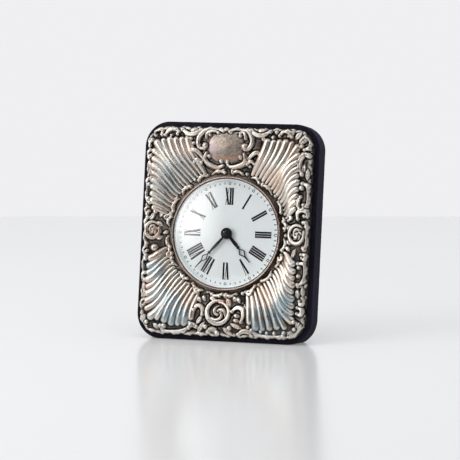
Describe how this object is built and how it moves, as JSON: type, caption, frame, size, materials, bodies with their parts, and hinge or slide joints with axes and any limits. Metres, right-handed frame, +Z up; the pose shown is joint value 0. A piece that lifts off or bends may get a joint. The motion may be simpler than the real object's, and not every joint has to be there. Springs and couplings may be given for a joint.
{
  "type": "easel-back desk clock",
  "caption": "Velvet-covered easel desk clock with an embossed silver front, a round white dial under a domed glass, a pull-out quartz unit and a hinged rear strut.",
  "frame": {"origin": "centre of the standing clock's footprint box, on the surface that it stands on", "axes": "+Z up, -Y towards the viewer in front of the dial, +X to the viewer's right"},
  "size_m": [0.1046, 0.0618, 0.123],
  "materials": {
    "velvet": "midnight blue cotton velvet with a short pile",
    "silver": "stamped and chased silver, polished on the ridges and darkened in the recesses",
    "wood": "plain board",
    "filler": "hard packing behind the relief",
    "plated_steel": "small plated hardware",
    "bezel": "thin rose-tinted metal rim, polished",
    "glass": "clear domed glass",
    "case_plastic": "black moulded case",
    "rubber": "soft pads",
    "dial_white": "satin white dial",
    "movement_plastic": "moulded movement parts",
    "wheel_plastic": "moulded wheels",
    "soft_iron": "blank iron",
    "copper": "enamelled copper wire",
    "board": "green circuit board",
    "chip_black": "black resin",
    "cell_steel": "nickel-plated cell",
    "brass": "plain brass",
    "knob_plastic": "ridged knob",
    "hand_black": "black lacquered hands"
  },
  "bodies": {
    "stand": {"wood_core": "wood", "velvet_cover": "velvet", "back_panel": "velvet", "silver_front": "silver", "relief_filler": "filler", "hinge_leaf_fixed": "plated_steel", "hinge_pin": "plated_steel", "hinge_screws": "plated_steel"},
    "strut": {"strut_board": "wood", "strut_cover": "velvet", "hinge_leaf_strut": "plated_steel", "strut_screws": "plated_steel"},
    "clock_unit": {"bezel_ring": "bezel", "glass_lens": "glass", "insert_cup": "case_plastic", "grip_pads": "rubber", "dial_plate": "dial_white", "front_plate": "movement_plastic", "rear_plate": "movement_plastic", "stator": "soft_iron", "coil_core": "soft_iron", "coil_bobbin": "movement_plastic", "coil_winding": "copper", "circuit_board": "board", "quartz_can": "plated_steel", "chip": "chip_black", "battery_holder": "movement_plastic", "battery": "cell_steel", "contact_minus": "brass", "contact_plus": "brass"},
    "minute_work": {"minute_arbor": "brass", "minute_hand": "hand_black", "minute_hand_cap": "hand_black"},
    "hour_work": {"hour_wheel": "wheel_plastic", "hour_hand": "hand_black"},
    "minute_reduction": {"minute_wheel": "wheel_plastic"},
    "setting": {"set_arbor": "plated_steel", "set_knob": "knob_plastic"},
    "rotor": {"rotor_pinion": "wheel_plastic", "rotor_magnet": "soft_iron"},
    "intermediate": {"intermediate_wheel": "wheel_plastic"},
    "seconds": {"seconds_wheel": "wheel_plastic"},
    "third": {"third_wheel": "wheel_plastic"},
    "centre": {"centre_wheel": "brass"},
    "battery_door": {"battery_cap": "case_plastic"}
  },
  "joints": [
    {"name": "strut_swing", "type": "hinge", "parent": "stand", "child": "strut", "pos_m": [0, 0.00615, 0.1002], "axis": [1, 0, 0], "range_deg": [-22, 0]},
    {"name": "unit_pull", "type": "slide", "parent": "stand", "child": "clock_unit", "axis": [0, -0.989, 0.1478], "range_m": [0, 0.018]},
    {"name": "minute_hand_turn", "type": "hinge", "parent": "clock_unit", "child": "minute_work", "pos_m": [0, -0.0179, 0.06073], "axis": [0, 0.989, -0.1478], "continuous": true},
    {"name": "hour_hand_turn", "type": "hinge", "parent": "clock_unit", "child": "hour_work", "pos_m": [0, -0.0179, 0.06073], "axis": [0, 0.989, -0.1478], "continuous": true},
    {"name": "minute_wheel_turn", "type": "hinge", "parent": "clock_unit", "child": "minute_reduction", "pos_m": [0.00551, -0.01513, 0.05933], "axis": [0, 0.989, -0.1478], "continuous": true},
    {"name": "set_knob_turn", "type": "hinge", "parent": "clock_unit", "child": "setting", "pos_m": [0.0098, -0.00572, 0.05428], "axis": [0, 0.989, -0.1478], "continuous": true},
    {"name": "rotor_spin", "type": "hinge", "parent": "clock_unit", "child": "rotor", "pos_m": [-0.00349, -0.0103, 0.06821], "axis": [0, 0.989, -0.1478], "continuous": true},
    {"name": "intermediate_wheel_turn", "type": "hinge", "parent": "clock_unit", "child": "intermediate", "pos_m": [-0.00874, -0.00898, 0.06802], "axis": [0, 0.989, -0.1478], "continuous": true},
    {"name": "seconds_wheel_turn", "type": "hinge", "parent": "clock_unit", "child": "seconds", "pos_m": [-0.01144, -0.01043, 0.06351], "axis": [0, 0.989, -0.1478], "continuous": true},
    {"name": "third_wheel_turn", "type": "hinge", "parent": "clock_unit", "child": "third", "pos_m": [-0.00761, -0.01216, 0.05707], "axis": [0, 0.989, -0.1478], "continuous": true},
    {"name": "centre_wheel_turn", "type": "hinge", "parent": "clock_unit", "child": "centre", "pos_m": [0, -0.01251, 0.05992], "axis": [0, 0.989, -0.1478], "continuous": true},
    {"name": "battery_cap_twist", "type": "hinge", "parent": "clock_unit", "child": "battery_door", "pos_m": [0.0113, -0.00741, 0.04298], "axis": [0, 0.989, -0.1478], "range_deg": [0, 45]}
  ],
  "couplings": [
    {"joint": "hour_hand_turn", "follows": "minute_hand_turn", "ratio": 0.083333},
    {"joint": "minute_wheel_turn", "follows": "minute_hand_turn", "ratio": -0.33333},
    {"joint": "set_knob_turn", "follows": "minute_hand_turn", "ratio": 1},
    {"joint": "intermediate_wheel_turn", "follows": "rotor_spin", "ratio": -0.16667},
    {"joint": "seconds_wheel_turn", "follows": "rotor_spin", "ratio": 0.033333},
    {"joint": "third_wheel_turn", "follows": "rotor_spin", "ratio": -0.0044444},
    {"joint": "centre_wheel_turn", "follows": "rotor_spin", "ratio": 0.00055556}
  ]
}
